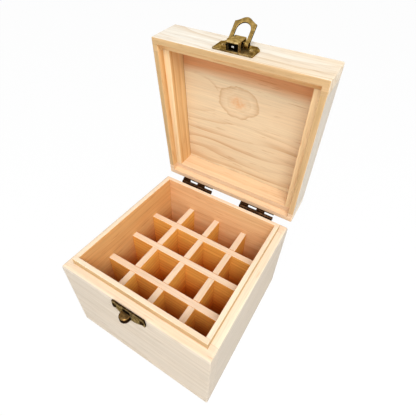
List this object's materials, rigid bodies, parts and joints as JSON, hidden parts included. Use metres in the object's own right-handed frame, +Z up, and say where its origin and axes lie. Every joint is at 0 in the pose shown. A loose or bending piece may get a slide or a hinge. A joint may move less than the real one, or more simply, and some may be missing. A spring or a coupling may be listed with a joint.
{
  "type": "wooden compartment box",
  "caption": "Square wooden box with an inner lip, half-lapped dividers that part it into compartments, a lid on butt hinges, and a swinging hasp with a catch.",
  "frame": {"origin": "middle of the base's underside", "axes": "+X to the right seen from the front, +Y from the hasp's side to the hinges, +Z up"},
  "size_m": [0.13, 0.1704, 0.2299],
  "materials": {
    "pale_pine": "sanded, unfinished",
    "warm_pine": "sanded, unfinished",
    "bronze": "antique, satin",
    "dark_bronze": "dark antique, satin"
  },
  "bodies": {
    "base": {"base_front_wall": "pale_pine", "base_back_wall": "pale_pine", "base_left_wall": "pale_pine", "base_right_wall": "pale_pine", "base_bottom": "warm_pine", "row_divider_front": "warm_pine", "row_divider_middle": "warm_pine", "row_divider_rear": "warm_pine", "column_divider_left": "warm_pine", "column_divider_middle": "warm_pine", "column_divider_right": "warm_pine", "left_hinge_base_leaf": "dark_bronze", "left_hinge_pin": "dark_bronze", "right_hinge_base_leaf": "dark_bronze", "right_hinge_pin": "dark_bronze", "catch_plate": "bronze", "catch_screw_left": "bronze", "catch_screw_right": "bronze", "left_hinge_base_screw_1": "dark_bronze", "left_hinge_base_screw_2": "dark_bronze", "right_hinge_base_screw_1": "dark_bronze", "right_hinge_base_screw_2": "dark_bronze"},
    "lid": {"lid_front_wall": "pale_pine", "lid_back_wall": "pale_pine", "lid_left_wall": "pale_pine", "lid_right_wall": "pale_pine", "lid_top_panel": "pale_pine", "left_hinge_lid_leaf": "dark_bronze", "right_hinge_lid_leaf": "dark_bronze", "hasp_plate": "bronze", "hasp_pin": "bronze", "hasp_screw_left": "bronze", "hasp_screw_right": "bronze", "left_hinge_lid_screw_1": "dark_bronze", "left_hinge_lid_screw_2": "dark_bronze", "right_hinge_lid_screw_1": "dark_bronze", "right_hinge_lid_screw_2": "dark_bronze"},
    "hasp_loop": {"hasp_loop": "bronze"}
  },
  "joints": [
    {"name": "lid_hinge", "type": "hinge", "parent": "base", "child": "lid", "pos_m": [0, 0.0682, 0.079], "axis": [1, 0, 0], "range_deg": [0, 84]},
    {"name": "hasp_pivot", "type": "hinge", "parent": "lid", "child": "hasp_loop", "pos_m": [-0.0016, 0.06844, 0.21638], "axis": [1, 0, 0], "range_deg": [-42, 138]}
  ]
}
